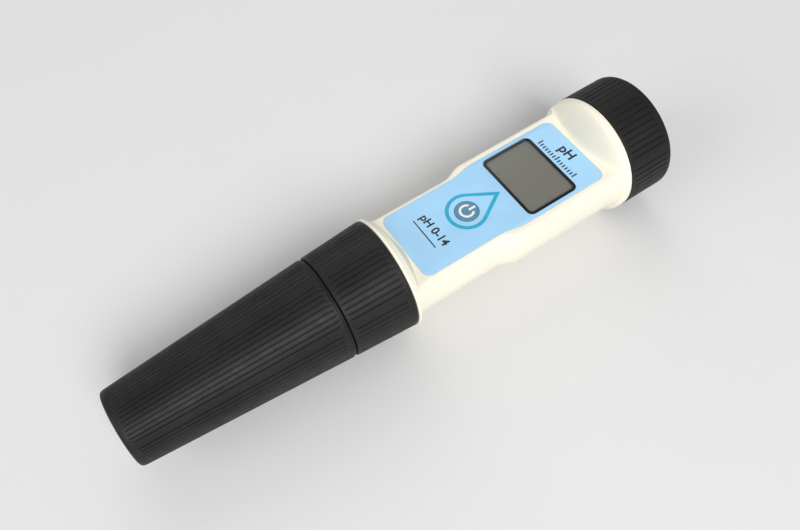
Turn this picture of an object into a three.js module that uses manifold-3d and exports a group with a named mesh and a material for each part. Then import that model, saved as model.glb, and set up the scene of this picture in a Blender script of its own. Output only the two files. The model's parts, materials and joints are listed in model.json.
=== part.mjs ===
// A waterproof pocket pH tester, lying on its back with its label up.
// Millimetres, +X towards the battery cap, +Z out of the label, +Z up.
// The exported origin is the middle of the tester's footprint, on the surface it lies on.
// Every shape is first made on the tester's long axis, with x = 0 where collar and housing meet.

import * as THREE from 'three';
import { mergeVertices } from 'three/addons/utils/BufferGeometryUtils.js';
import Module from 'manifold-3d';

const wasm = await Module();
wasm.setup();

// ---- Driving dimensions ----

const SIDES = 30;                 // flats round each large turned piece, one of them underneath
const SMALL_SIDES = 16;           // flats round small turned pieces
const GAP = 0.3;                  // working gap between neighbouring pieces

const CAP_TIP_X = -88.6;          // blind end of the protective cap
const CAP_TIP_RADIUS = 12.1;
const CAP_MOUTH_X = -21.6;        // open end of the protective cap
const CAP_MOUTH_RADIUS = 16.84;
const CAP_LIP_X = -20.9;          // thin lip that closes up to the collar
const CAP_LIP_RADIUS = 16.2;
const CAP_WALL = 2;
const CAP_BORE_RADIUS = 13.65;    // straight bore that slides over the collar's nose

const COLLAR_FRONT_X = -20.6;
const COLLAR_FRONT_RADIUS = 16.94;
const COLLAR_BACK_RADIUS = 18.28;
const COLLAR_NOSE_X = -28.6;      // end of the collar's nose, inside the cap
const COLLAR_NOSE_RADIUS = 13.2;

const RIM_X = 1.2;                // width of the rim at the housing's collar end
const RIM_RADIUS = 18.5;
const LOWER_RADIUS = 15.95;       // slim part of the housing, by the key
const UPPER_RADIUS = 18;          // wide part of the housing, by the display
const WAIST_START_X = 32;
const WAIST_END_X = 39;
const FLANGE_BACK_X = 78.2;       // flange that the battery cap screws up against
const FLANGE_FRONT_X = 81.6;
const FLANGE_RADIUS = 20;
const FACE_Z = 8.12;              // flat front of the housing, above the axis
const FACE_WALL = 2;
const COLLAR_RAMP_X = 6.3;        // foot of the ramp between the face and the collar's rim
const SIDE_WALL = 2;

const SENSOR_SPIGOT_X = -10;      // housing spigot that the collar screws onto
const SENSOR_SPIGOT_RADIUS = 14.9;
const SENSOR_BORE_RADIUS = 12.4;
const BATTERY_SPIGOT_X = 91.5;    // housing spigot that the battery cap screws onto
const BATTERY_SPIGOT_RADIUS = 16.4;
const BATTERY_BORE_RADIUS = 14.6;

const BATTERY_CAP_X = 98.7;
const BATTERY_CAP_RADIUS = 20.1;
const BATTERY_CAP_BORE_RADIUS = 17.3;

const LABEL_START_X = 6.8;
const LABEL_END_X = 74.3;
const LABEL_LOWER_HALF = 12.73;
const LABEL_UPPER_HALF = 14.18;
const LABEL_CORNER = 2.8;
const LABEL_DEPTH = 0.25;

const WINDOW_X = 54.95;           // middle of the display
const WINDOW_LENGTH = 18.8;
const WINDOW_WIDTH = 25.6;
const KEY_X = 30.6;
const KEY_RADIUS = 3.75;

const BOARD_Z = 1.2;              // underside of the circuit board
const BOARD_THICKNESS = 1.2;
const BOARD_TOP_Z = BOARD_Z + BOARD_THICKNESS;
const SCREW_X = 72;               // two screws hold the board and the battery tray
const SCREW_Y = 12.4;

const CELL_LENGTH = 43.6;         // AAA cell without its button
const CELL_RADIUS = 5.2;
const CELL_Y = 5.8;
const CELL_Z = -5.2;
const CELL_START_X = 46.9;
const BAY_RADIUS = 5.5;

const SENSOR_RADIUS = 9;
const SENSOR_SHOULDER_X = -58;    // where the slotted guard begins
const SENSOR_TIP_X = -74;
const BULB_X = -68;
const BULB_RADIUS = 4.4;
const STEM_RADIUS = 3.1;

const PROBE_Z = -5.6;             // the temperature probe lies below the glass stem
const PIN_SPACING = 3.2;

const AXIS_HEIGHT = BATTERY_CAP_RADIUS * Math.cos(Math.PI / SIDES);
const MIDDLE_X = (CAP_TIP_X + BATTERY_CAP_X) / 2;

// ---- Materials ----

function finish(color, roughness, metalness = 0) {
  return new THREE.MeshStandardMaterial({ color, roughness, metalness });
}

const ivory = finish(0xf4f1e2, 0.45);
const blackGrip = finish(0x2b2b2b, 0.5);
const labelFilm = finish(0xa6d5f4, 0.4);
const clearPane = finish(0x1b1d1e, 0.1);
const liquidCrystal = finish(0x70736a, 0.2);
const keyRubber = finish(0x5b8fab, 0.5);
const boardGreen = finish(0x1d5a36, 0.5);
const chipBlack = finish(0x18181a, 0.5);
const sealRubber = finish(0x202020, 0.8);
const greyPlastic = finish(0x8a8d90, 0.5);
const steel = finish(0xc0c3c6, 0.35, 1);
const gold = finish(0xd8b25a, 0.3, 1);
const cellSleeve = finish(0x3f5f86, 0.4);
const smokedPlastic = finish(0x35434c, 0.2);
const glass = finish(0xdfeef2, 0.05);
const ceramic = finish(0xe8e4da, 0.8);
const foam = finish(0xd9cf9e, 0.95);

// ---- Geometry helpers ----

// Shared corners are merged and slivers dropped, so that the surface is closed and faces out.
function closed(geometry) {
  const bare = geometry.clone();
  bare.deleteAttribute('normal');
  bare.deleteAttribute('uv');
  const merged = mergeVertices(bare, 1e-4);
  const corner = merged.getIndex().array;
  const place = merged.getAttribute('position');
  const a = new THREE.Vector3();
  const b = new THREE.Vector3();
  const c = new THREE.Vector3();
  const kept = [];
  let volume = 0;
  for (let i = 0; i < corner.length; i += 3) {
    const [p, q, r] = corner.slice(i, i + 3);
    if (p === q || q === r || r === p) continue;
    a.fromBufferAttribute(place, p);
    b.fromBufferAttribute(place, q);
    c.fromBufferAttribute(place, r);
    volume += a.dot(b.cross(c));
    kept.push(p, q, r);
  }
  if (volume < 0) kept.reverse();
  merged.setIndex(kept);
  return merged;
}

function asSolid(geometry) {
  const shell = closed(geometry);
  const vertProperties = new Float32Array(shell.getAttribute('position').array);
  const triVerts = new Uint32Array(shell.getIndex().array);
  return new wasm.Manifold(new wasm.Mesh({ numProp: 3, vertProperties, triVerts }));
}

function asGeometry(solid) {
  const { vertProperties, triVerts } = solid.getMesh();
  const geometry = new THREE.BufferGeometry();
  geometry.setAttribute('position', new THREE.BufferAttribute(new Float32Array(vertProperties), 3));
  geometry.setIndex(new THREE.BufferAttribute(new Uint32Array(triVerts), 1));
  return geometry;
}

function cut(geometry, ...tools) {
  return asGeometry(tools.reduce((solid, tool) => solid.subtract(asSolid(tool)), asSolid(geometry)));
}

function join(geometry, ...others) {
  return asGeometry(others.reduce((solid, other) => solid.add(asSolid(other)), asSolid(geometry)));
}

function part(name, geometry, material) {
  const mesh = new THREE.Mesh(closed(geometry), material);
  mesh.name = name;
  return mesh;
}

// A piece turned about the long axis, from [x, radius] corners; one flat faces straight down.
function turned(corners, sides = SIDES) {
  const profile = corners.map(([x, radius]) => new THREE.Vector2(radius, x));
  const geometry = new THREE.LatheGeometry(profile, sides, Math.PI / sides);
  geometry.rotateZ(-Math.PI / 2);
  return geometry;
}

// The same, closed on itself: for rings and sleeves.
function turnedRing(corners, sides = SIDES) {
  return turned([...corners, corners[0]], sides);
}

// A piece turned about an upright axis, from [radius, z] corners.
function upright(corners, x, y, sides = SMALL_SIDES) {
  const profile = corners.map(([radius, z]) => new THREE.Vector2(radius, z));
  const geometry = new THREE.LatheGeometry(profile, sides);
  geometry.rotateX(Math.PI / 2);
  geometry.translate(x, y, 0);
  return geometry;
}

function rod(radius, startX, endX, y, z, sides = SMALL_SIDES) {
  const geometry = turned([[startX, 0], [startX, radius], [endX, radius], [endX, 0]], sides);
  geometry.translate(0, y, z);
  return geometry;
}

function block([x0, x1], [y0, y1], [z0, z1]) {
  const geometry = new THREE.BoxGeometry(x1 - x0, y1 - y0, z1 - z0);
  geometry.translate((x0 + x1) / 2, (y0 + y1) / 2, (z0 + z1) / 2);
  return geometry;
}

function oRing(x, radius, thickness, sides = SIDES) {
  const corners = [];
  for (let step = 0; step < 6; step += 1) {
    const angle = (step + 0.5) * Math.PI / 3;
    corners.push([x + thickness / 2 * Math.cos(angle), radius + thickness / 2 * Math.sin(angle)]);
  }
  return turnedRing(corners, sides);
}

// A flat plate with rounded corners, seen from the front, between two heights.
function plate(outline, bottom, top, curveSegments = 4) {
  const geometry = new THREE.ExtrudeGeometry(outline, {
    depth: top - bottom,
    bevelEnabled: false,
    curveSegments,
  });
  geometry.translate(0, 0, bottom);
  return geometry;
}

function roundedRectangle(middleX, length, width, corner) {
  const left = middleX - length / 2;
  const right = middleX + length / 2;
  const half = width / 2;
  const outline = new THREE.Shape();
  outline.moveTo(left + corner, -half);
  outline.lineTo(right - corner, -half);
  outline.absarc(right - corner, -half + corner, corner, -Math.PI / 2, 0, false);
  outline.absarc(right - corner, half - corner, corner, 0, Math.PI / 2, false);
  outline.absarc(left + corner, half - corner, corner, Math.PI / 2, Math.PI, false);
  outline.absarc(left + corner, -half + corner, corner, Math.PI, 1.5 * Math.PI, false);
  return outline;
}

// ---- Housing ----

// Outer radius of the waist between the slim and the wide part, as a smooth step.
function waistRadius(x) {
  const along = THREE.MathUtils.smoothstep(x, WAIST_START_X, WAIST_END_X);
  return THREE.MathUtils.lerp(LOWER_RADIUS, UPPER_RADIUS, along);
}

function waist(inset) {
  const steps = 5;
  const corners = [];
  for (let step = 0; step <= steps; step += 1) {
    const x = THREE.MathUtils.lerp(WAIST_START_X, WAIST_END_X, step / steps);
    corners.push([x, waistRadius(x) - inset]);
  }
  return corners;
}

function housingOutside() {
  const groove = { start: 82.3, end: 84.5, radius: 15.2 };
  return turned([
    [SENSOR_SPIGOT_X, 0],
    [SENSOR_SPIGOT_X, SENSOR_SPIGOT_RADIUS],
    [0.1, SENSOR_SPIGOT_RADIUS],
    [0.1, RIM_RADIUS],
    [RIM_X, RIM_RADIUS],
    [RIM_X + 0.4, 17],
    [3, 16.5],
    [5, 16.15],
    [8, LOWER_RADIUS],
    ...waist(0),
    [FLANGE_BACK_X, UPPER_RADIUS],
    [FLANGE_BACK_X, FLANGE_RADIUS - 0.3],
    [FLANGE_BACK_X + 1, FLANGE_RADIUS],
    [FLANGE_FRONT_X, FLANGE_RADIUS],
    [FLANGE_FRONT_X, BATTERY_SPIGOT_RADIUS],
    [groove.start, BATTERY_SPIGOT_RADIUS],
    [groove.start, groove.radius],
    [groove.end, groove.radius],
    [groove.end, BATTERY_SPIGOT_RADIUS],
    [BATTERY_SPIGOT_X, BATTERY_SPIGOT_RADIUS],
    [BATTERY_SPIGOT_X, 0],
  ]);
}

// What is taken off the round body to leave the flat face, with a ramp up to each rim:
// a plain cone at the collar, a curved one at the battery cap.
function faceCutter() {
  const slab = block([0.1, FLANGE_FRONT_X], [-25, 25], [FACE_Z, 25]);
  const collarRamp = turned([
    [-1, 0],
    [COLLAR_RAMP_X, 0],
    [COLLAR_RAMP_X, FACE_Z],
    [COLLAR_RAMP_X - 6.9, 26],
    [-1, 26],
    [-1, 0],
  ]);
  const batteryRamp = turned([
    [75, 0],
    [75, FACE_Z - 0.6],
    [75.9, 9.3],
    [77.1, 12.2],
    [78.1, 15],
    [79.1, 17.5],
    [80.6, FLANGE_RADIUS],
    [80.6, 26],
    [83, 26],
    [83, 0],
  ]);
  return cut(slab, collarRamp, batteryRamp);
}

// The hollow: round at the back and sides, flat behind the face, open at both ends.
function housingHollow() {
  const room = turned([
    [4, 0],
    [4, LOWER_RADIUS - SIDE_WALL],
    ...waist(SIDE_WALL),
    [77, UPPER_RADIUS - SIDE_WALL],
    [77, BATTERY_BORE_RADIUS],
    [80, BATTERY_BORE_RADIUS],
    [80, 0],
  ]);
  const abovePanel = block([3, 79.7], [-25, 25], [FACE_Z - FACE_WALL, 25]);
  const sensorBore = turned([
    [SENSOR_SPIGOT_X - 1, 0],
    [SENSOR_SPIGOT_X - 1, SENSOR_BORE_RADIUS],
    [1.4, SENSOR_BORE_RADIUS],
    [1.4, 5.6],
    [4.5, 5.6],
    [4.5, 0],
  ]);
  const batteryBore = rod(BATTERY_BORE_RADIUS, 79.6, BATTERY_SPIGOT_X + 1, 0, 0, SIDES);
  return join(cut(room, abovePanel), sensorBore, batteryBore);
}

function labelOutline(grow) {
  const lower = LABEL_LOWER_HALF + grow;
  const upper = LABEL_UPPER_HALF + grow;
  const start = LABEL_START_X - grow;
  const end = LABEL_END_X + grow;
  const quarter = Math.PI / 2;
  const outline = new THREE.Shape();
  outline.moveTo(start + LABEL_CORNER, -lower);
  outline.lineTo(WAIST_START_X + 1, -lower);
  outline.bezierCurveTo(WAIST_START_X + 5, -lower, WAIST_END_X - 1, -upper, WAIST_END_X + 4, -upper);
  outline.lineTo(end - LABEL_CORNER, -upper);
  outline.absarc(end - LABEL_CORNER, -upper + LABEL_CORNER, LABEL_CORNER, -quarter, 0, false);
  outline.absarc(end - LABEL_CORNER, upper - LABEL_CORNER, LABEL_CORNER, 0, quarter, false);
  outline.lineTo(WAIST_END_X + 4, upper);
  outline.bezierCurveTo(WAIST_END_X - 1, upper, WAIST_START_X + 5, lower, WAIST_START_X + 1, lower);
  outline.lineTo(start + LABEL_CORNER, lower);
  outline.absarc(start + LABEL_CORNER, lower - LABEL_CORNER, LABEL_CORNER, quarter, Math.PI, false);
  outline.absarc(start + LABEL_CORNER, -lower + LABEL_CORNER, LABEL_CORNER, Math.PI, 3 * quarter, false);
  return outline;
}

function housing() {
  const labelRecess = plate(labelOutline(0.15), FACE_Z - LABEL_DEPTH - 0.05, FACE_Z + 1);
  const paneSeat = plate(
    roundedRectangle(WINDOW_X, WINDOW_LENGTH + 2 * GAP, WINDOW_WIDTH + 2 * GAP, 2.3),
    FACE_Z - 1,
    FACE_Z + 1,
  );
  const paneOpening = plate(
    roundedRectangle(WINDOW_X, WINDOW_LENGTH - 1.8, WINDOW_WIDTH - 1.8, 0.4),
    FACE_Z - FACE_WALL - 1,
    FACE_Z,
  );
  const keyHole = upright([[0, 3], [KEY_RADIUS + GAP, 3], [KEY_RADIUS + GAP, 12], [0, 12]], KEY_X, 0);
  const shell = cut(
    housingOutside(),
    faceCutter(),
    housingHollow(),
    labelRecess,
    paneSeat,
    paneOpening,
    keyHole,
  );
  return part('housing', shell, ivory);
}

// ---- Front: label, display, key ----

function frontLabel() {
  const outline = labelOutline(0);
  outline.holes.push(roundedRectangle(WINDOW_X, WINDOW_LENGTH + 0.5, WINDOW_WIDTH + 0.5, 2.2));
  const keyHole = new THREE.Path();
  keyHole.absarc(KEY_X, 0, KEY_RADIUS + GAP, 0, 2 * Math.PI, true);
  outline.holes.push(keyHole);
  return part('front_label', plate(outline, FACE_Z - LABEL_DEPTH, FACE_Z), labelFilm);
}

function displayWindow() {
  const outline = roundedRectangle(WINDOW_X, WINDOW_LENGTH, WINDOW_WIDTH, 2);
  return part('display_window', plate(outline, FACE_Z - 0.9, FACE_Z + 0.1), clearPane);
}

function lcdPanel() {
  const lower = block([WINDOW_X - 8.8, WINDOW_X + 8.8], [-12.4, 12.4], [4.3, 5.1]);
  const upper = block([WINDOW_X - 8.2, WINDOW_X + 8.2], [-11.6, 11.6], [5, 7]);
  return part('lcd_panel', join(lower, upper), liquidCrystal);
}

function lcdFrame() {
  const ring = block([WINDOW_X - 10.2, WINDOW_X + 10.2], [-13.7, 13.7], [2.7, 5.8]);
  const opening = block([WINDOW_X - 9.1, WINDOW_X + 9.1], [-12.7, 12.7], [2, 7]);
  return part('lcd_frame', cut(ring, opening), greyPlastic);
}

function elastomerStrip(number, side) {
  const inner = WINDOW_X + side * 7;
  const outer = WINDOW_X + side * 8.6;
  const ends = [Math.min(inner, outer), Math.max(inner, outer)];
  return part(`elastomer_strip_${number}`, block(ends, [-11, 11], [2.6, 4.1]), sealRubber);
}

function powerKey() {
  const geometry = upright([
    [0, 4.9],
    [1.6, 4.9],
    [1.6, 5.2],
    [KEY_RADIUS + 0.9, 5.2],
    [KEY_RADIUS + 0.9, 5.8],
    [KEY_RADIUS, 5.8],
    [KEY_RADIUS, FACE_Z + 0.1],
    [KEY_RADIUS - 0.3, FACE_Z + 0.3],
    [0, FACE_Z + 0.3],
  ], KEY_X, 0, 20);
  return part('power_key', geometry, keyRubber);
}

// ---- Electronics ----

function circuitBoard() {
  const corner = 1;
  const slim = roundedRectangle(27, 23, 23, corner);
  const wide = roundedRectangle(56.5, 38, 28, corner);
  const screwHoles = [-1, 1].map((side) => (
    upright([[0, 0], [1.2, 0], [1.2, 4], [0, 4]], SCREW_X, side * SCREW_Y, 8)
  ));
  const board = cut(
    join(plate(slim, BOARD_Z, BOARD_TOP_Z, 2), plate(wide, BOARD_Z, BOARD_TOP_Z, 2)),
    ...screwHoles,
  );
  return part('circuit_board', board, boardGreen);
}

function chip(name, x, y, length, width, height, z = BOARD_TOP_Z + 0.1) {
  const body = block([x - length / 2, x + length / 2], [y - width / 2, y + width / 2], [z, z + height]);
  return part(name, body, chipBlack);
}

function keySwitch() {
  const body = block([KEY_X - 3, KEY_X + 3], [-3, 3], [BOARD_TOP_Z + 0.1, 3.8]);
  const plunger = upright([[0, 3.5], [1.2, 3.5], [1.2, 4.2], [0, 4.2]], KEY_X, 0, 12);
  return part('key_switch', join(body, plunger), steel);
}

function boardScrew(number, side) {
  const geometry = upright([
    [0, -2.6],
    [0.8, -2.6],
    [0.8, BOARD_TOP_Z + 0.1],
    [1.6, BOARD_TOP_Z + 0.1],
    [1.6, BOARD_TOP_Z + 0.9],
    [0, BOARD_TOP_Z + 0.9],
  ], SCREW_X, side * SCREW_Y, 10);
  return part(`board_screw_${number}`, geometry, steel);
}

// ---- Battery compartment ----

function batteryTray() {
  const start = 43.4;
  const end = 79.8;
  const radius = 14.2;
  const top = 0.8;
  const trough = turned([[start, 0], [start, radius], [end, radius], [end, 0]]);
  const above = block([start - 1, end + 1], [-20, 20], [top, 20]);
  const bays = [-1, 1].map((side) => rod(BAY_RADIUS, start + 1.6, end + 1, side * CELL_Y, CELL_Z));
  const pilots = [-1, 1].map((side) => (
    upright([[0, -3.2], [1, -3.2], [1, 2], [0, 2]], SCREW_X, side * SCREW_Y, 8)
  ));
  return part('battery_tray', cut(trough, above, ...bays, ...pilots), greyPlastic);
}

function batteryCell(number, side) {
  const start = CELL_START_X;
  const end = start + CELL_LENGTH;
  const corners = [
    [start, 0],
    [start, CELL_RADIUS - 0.3],
    [start + 0.3, CELL_RADIUS],
    [end - 0.3, CELL_RADIUS],
    [end, CELL_RADIUS - 0.3],
    [end, 1.9],
    [end + 0.9, 1.9],
    [end + 0.9, 0],
  ];
  const geometry = turned(corners, SMALL_SIDES);
  geometry.translate(0, side * CELL_Y, CELL_Z);
  return part(`battery_cell_${number}`, geometry, cellSleeve);
}

// A conical contact spring, wide on the tray wall and narrow on the cell.
class ConeSpiral extends THREE.Curve {
  constructor(startX, endX, startRadius, endRadius, turns, y, z) {
    super();
    Object.assign(this, { startX, endX, startRadius, endRadius, turns, y, z });
  }

  getPoint(t, target = new THREE.Vector3()) {
    const radius = THREE.MathUtils.lerp(this.startRadius, this.endRadius, t);
    const angle = 2 * Math.PI * this.turns * t;
    const x = THREE.MathUtils.lerp(this.startX, this.endX, t);
    return target.set(x, this.y + radius * Math.cos(angle), this.z + radius * Math.sin(angle));
  }
}

function batterySpring(number, side) {
  const wire = new THREE.Shape();
  wire.absarc(0, 0, 0.25, 0, 2 * Math.PI, false);
  const path = new ConeSpiral(45.35, 46.55, 3.6, 1.2, 2.2, side * CELL_Y, CELL_Z);
  const geometry = new THREE.ExtrudeGeometry(wire, {
    steps: 28,
    curveSegments: 3,
    extrudePath: path,
  });
  return part(`battery_spring_${number}`, geometry, steel);
}

function contactHolder() {
  const disc = rod(12.8, 93.5, 95.1, 0, 0, 24);
  const tongue = block([77, 94], [-4, 4], [1.1, 2.6]);
  return part('contact_holder', join(disc, tongue), greyPlastic);
}

function contactPlate() {
  const half = CELL_Y + 4;
  const geometry = block([92.8, 93.2], [-half, half], [CELL_Z - 3.5, CELL_Z + 3.5]);
  return part('contact_plate', geometry, gold);
}

function batteryCap() {
  const start = FLANGE_FRONT_X + 0.2;
  const ceiling = 92.4;
  const recess = 95.4;
  const geometry = turned([
    [BATTERY_CAP_X, 0],
    [BATTERY_CAP_X, BATTERY_CAP_RADIUS - 1.5],
    [BATTERY_CAP_X - 0.45, BATTERY_CAP_RADIUS - 0.45],
    [BATTERY_CAP_X - 1.5, BATTERY_CAP_RADIUS],
    [start + 0.3, BATTERY_CAP_RADIUS],
    [start, BATTERY_CAP_RADIUS - 0.3],
    [start, BATTERY_CAP_BORE_RADIUS],
    [ceiling, BATTERY_CAP_BORE_RADIUS],
    [ceiling, 13.4],
    [recess, 13.4],
    [recess, 0],
  ]);
  return part('battery_cap', geometry, blackGrip);
}

// ---- Sensor module ----

function sensorBody() {
  const outside = turned([
    [0.8, 0],
    [0.8, 12],
    [-4.6, 12],
    [-4.6, 10.9],
    [-6.8, 10.9],
    [-6.8, 12],
    [-10.3, 12],
    [-10.3, 14.4],
    [-12.4, 14.4],
    [-12.4, SENSOR_RADIUS],
    [SENSOR_TIP_X + 1, SENSOR_RADIUS],
    [SENSOR_TIP_X, SENSOR_RADIUS - 1],
    [SENSOR_TIP_X, 0],
  ], 24);
  const bore = turned([
    [-2, 0],
    [-2, STEM_RADIUS + GAP],
    [SENSOR_SHOULDER_X, STEM_RADIUS + GAP],
    [SENSOR_SHOULDER_X, 7.4],
    [SENSOR_TIP_X - 1, 7.4],
    [SENSOR_TIP_X - 1, 0],
  ], 24);
  const slots = [0, 1].map((turn) => {
    const slot = block([SENSOR_TIP_X - 1, SENSOR_SHOULDER_X - 3], [-3.4, 3.4], [-12, 12]);
    slot.rotateX(turn * Math.PI / 2 + Math.PI / 4);
    return slot;
  });
  const pinHoles = [-1, 0, 1].map((place) => rod(0.7, -0.8, 2, place * PIN_SPACING, 0, 8));
  const probeHole = rod(1.1, -62, -40, 0, PROBE_Z, 8);
  return part('sensor_body', cut(outside, bore, ...slots, ...pinHoles, probeHole), smokedPlastic);
}

// A thin glass tube, open at the back and blown into a bulb at the tip.
function glassElectrode() {
  const back = -25;
  const wall = 0.6;
  const outer = [];
  const inner = [];
  const steps = 6;
  const neck = Math.asin(STEM_RADIUS / BULB_RADIUS);
  for (let step = 0; step <= steps; step += 1) {
    const angle = THREE.MathUtils.lerp(neck, Math.PI, step / steps);
    const radius = Math.sin(angle);
    outer.push([BULB_X + BULB_RADIUS * Math.cos(angle), BULB_RADIUS * radius]);
    inner.push([BULB_X + (BULB_RADIUS - wall) * Math.cos(angle), (BULB_RADIUS - wall) * radius]);
  }
  const geometry = turned([
    ...outer.reverse(),
    [back, STEM_RADIUS],
    [back, STEM_RADIUS - wall],
    ...inner,
  ], SMALL_SIDES);
  return part('glass_electrode', geometry, glass);
}

function innerWire() {
  return part('inner_wire', rod(0.5, BULB_X - 1, -2.4, 0, 0, 8), steel);
}

function referenceJunction() {
  const start = SENSOR_SHOULDER_X - 0.2;
  const ring = turnedRing([
    [start, 3.6],
    [start, 7.1],
    [start - 1.8, 7.1],
    [start - 1.8, 3.6],
  ], SMALL_SIDES);
  const probeGap = rod(1.3, start - 3, start + 1, 0, PROBE_Z, 8);
  return part('reference_junction', cut(ring, probeGap), ceramic);
}

function temperatureProbe() {
  const geometry = turned([
    [-41, 0],
    [-41, 0.8],
    [-65, 0.8],
    [-65.8, 0],
  ], 10);
  geometry.translate(0, 0, PROBE_Z);
  return part('temperature_probe', geometry, steel);
}

function sensorPin(number, place) {
  return part(`sensor_pin_${number}`, rod(0.45, -0.6, 10, place * PIN_SPACING, 0, 8), gold);
}

function sensorSocket() {
  const body = turned([
    [5, 0],
    [5, 13.6],
    [7, 13.6],
    [7, 7],
    [14.8, 7],
    [14.8, 0],
  ], 24);
  const overPanel = block([4, 16], [-15, 15], [5.8, 15]);
  const holes = [-1, 0, 1].map((place) => rod(0.8, 4, 12, place * PIN_SPACING, 0, 8));
  return part('sensor_socket', cut(body, overPanel, ...holes), greyPlastic);
}

// ---- Collar and protective cap ----

function collar() {
  const back = -0.2;
  const geometry = turnedRing([
    [back, 15.4],
    [back, COLLAR_BACK_RADIUS],
    [COLLAR_FRONT_X + 0.4, COLLAR_FRONT_RADIUS],
    [COLLAR_FRONT_X, COLLAR_FRONT_RADIUS - 0.4],
    [COLLAR_FRONT_X, COLLAR_NOSE_RADIUS],
    [-23.6, COLLAR_NOSE_RADIUS],
    [-23.6, 12],
    [-25.8, 12],
    [-25.8, COLLAR_NOSE_RADIUS],
    [COLLAR_NOSE_X, COLLAR_NOSE_RADIUS],
    [COLLAR_NOSE_X, 9.6],
    [-12.8, 9.6],
    [-12.8, 15.4],
  ]);
  return part('collar', geometry, blackGrip);
}

function protectiveCap() {
  const floorX = CAP_TIP_X + CAP_WALL;
  const geometry = turned([
    [CAP_TIP_X, 0],
    [CAP_TIP_X, CAP_TIP_RADIUS - 1.4],
    [CAP_TIP_X + 0.4, CAP_TIP_RADIUS - 0.4],
    [CAP_TIP_X + 1.5, CAP_TIP_RADIUS + 0.1],
    [CAP_MOUTH_X - 0.3, CAP_MOUTH_RADIUS],
    [CAP_MOUTH_X, CAP_MOUTH_RADIUS - 0.3],
    [CAP_MOUTH_X, CAP_LIP_RADIUS],
    [CAP_LIP_X, CAP_LIP_RADIUS],
    [CAP_LIP_X, CAP_BORE_RADIUS],
    [COLLAR_NOSE_X - 1.4, CAP_BORE_RADIUS],
    [floorX, 10],
    [floorX, 0],
  ]);
  return part('protective_cap', geometry, blackGrip);
}

function capSponge() {
  const geometry = turned([
    [-86.3, 0],
    [-86.3, 9.2],
    [-83.4, 9.2],
    [-82.9, 8.7],
    [-82.9, 0],
  ], 20);
  return part('cap_sponge', geometry, foam);
}

// ---- Assembly ----

function electronics() {
  const group = new THREE.Group();
  group.add(
    lcdPanel(),
    lcdFrame(),
    elastomerStrip(1, -1),
    elastomerStrip(2, 1),
    circuitBoard(),
    chip('processor_chip', 38.5, 4, 7, 7, 1.4),
    chip('amplifier_chip', 20, -4, 5, 4, 1.4),
    chip('clock_crystal', 38.5, -6, 3.2, 8, 1.3),
    keySwitch(),
    boardScrew(1, -1),
    boardScrew(2, 1),
    sensorSocket(),
  );
  return group;
}

function batteryCompartment() {
  const group = new THREE.Group();
  group.add(batteryTray());
  [-1, 1].forEach((side, index) => {
    group.add(batteryCell(index + 1, side), batterySpring(index + 1, side));
  });
  group.add(part('battery_cap_seal', oRing(83.4, 16.15, 1.7), sealRubber));
  group.add(contactHolder(), contactPlate(), batteryCap());
  return group;
}

function sensorModule() {
  const group = new THREE.Group();
  group.add(
    sensorBody(),
    glassElectrode(),
    innerWire(),
    referenceJunction(),
    temperatureProbe(),
    part('sensor_seal', oRing(-5.7, 11.55, 1.2, 24), sealRubber),
  );
  [-1, 0, 1].forEach((place, index) => group.add(sensorPin(index + 1, place)));
  return group;
}

function tester() {
  const onAxis = new THREE.Group();
  onAxis.add(
    housing(),
    frontLabel(),
    displayWindow(),
    powerKey(),
    electronics(),
    batteryCompartment(),
    sensorModule(),
    collar(),
    part('cap_seal', oRing(-24.7, 12.8, 1.5), sealRubber),
    protectiveCap(),
    capSponge(),
  );
  onAxis.position.set(-MIDDLE_X, 0, AXIS_HEIGHT);
  const whole = new THREE.Group();
  whole.add(onAxis);
  return whole;
}

export default tester();
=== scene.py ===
import json
import math

import bmesh
import bpy
from mathutils import Matrix, Vector


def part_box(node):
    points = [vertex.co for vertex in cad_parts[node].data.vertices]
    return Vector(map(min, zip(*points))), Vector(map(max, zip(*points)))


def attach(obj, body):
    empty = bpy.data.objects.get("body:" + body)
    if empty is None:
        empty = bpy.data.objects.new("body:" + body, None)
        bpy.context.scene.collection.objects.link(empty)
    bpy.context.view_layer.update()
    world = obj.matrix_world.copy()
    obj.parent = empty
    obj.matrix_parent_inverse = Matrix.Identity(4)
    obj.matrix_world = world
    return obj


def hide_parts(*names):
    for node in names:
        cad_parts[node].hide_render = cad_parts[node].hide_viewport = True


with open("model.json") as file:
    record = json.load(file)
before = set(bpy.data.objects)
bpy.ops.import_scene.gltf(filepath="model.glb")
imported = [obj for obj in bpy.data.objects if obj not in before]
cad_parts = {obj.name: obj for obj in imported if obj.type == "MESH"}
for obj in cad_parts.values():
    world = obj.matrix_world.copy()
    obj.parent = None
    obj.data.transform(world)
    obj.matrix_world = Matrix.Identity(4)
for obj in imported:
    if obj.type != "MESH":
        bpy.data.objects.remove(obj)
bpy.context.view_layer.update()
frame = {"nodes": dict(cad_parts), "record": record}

# ---------------------------------------------------------------- measures
# Millimetres on the tester's long axis; x = 0 is the joint between collar and housing.

MM = 0.001
AXIS_Z = (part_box("battery_cap")[0][2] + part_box("battery_cap")[1][2]) / 2
ZERO_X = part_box("collar")[1][0] + 0.2 * MM

CAP_TIP_X = -88.6
CAP_TIP_RADIUS = 12.1
CAP_MOUTH_X = -21.6
CAP_MOUTH_RADIUS = 16.84
CAP_BORE_RADIUS = 13.65
CAP_LIP_X = -20.9
COLLAR_FRONT_X = -20.6
COLLAR_FRONT_RADIUS = 16.94
COLLAR_BACK_RADIUS = 18.28
COLLAR_NOSE_X = -28.6
COLLAR_NOSE_RADIUS = 13.2

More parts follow.
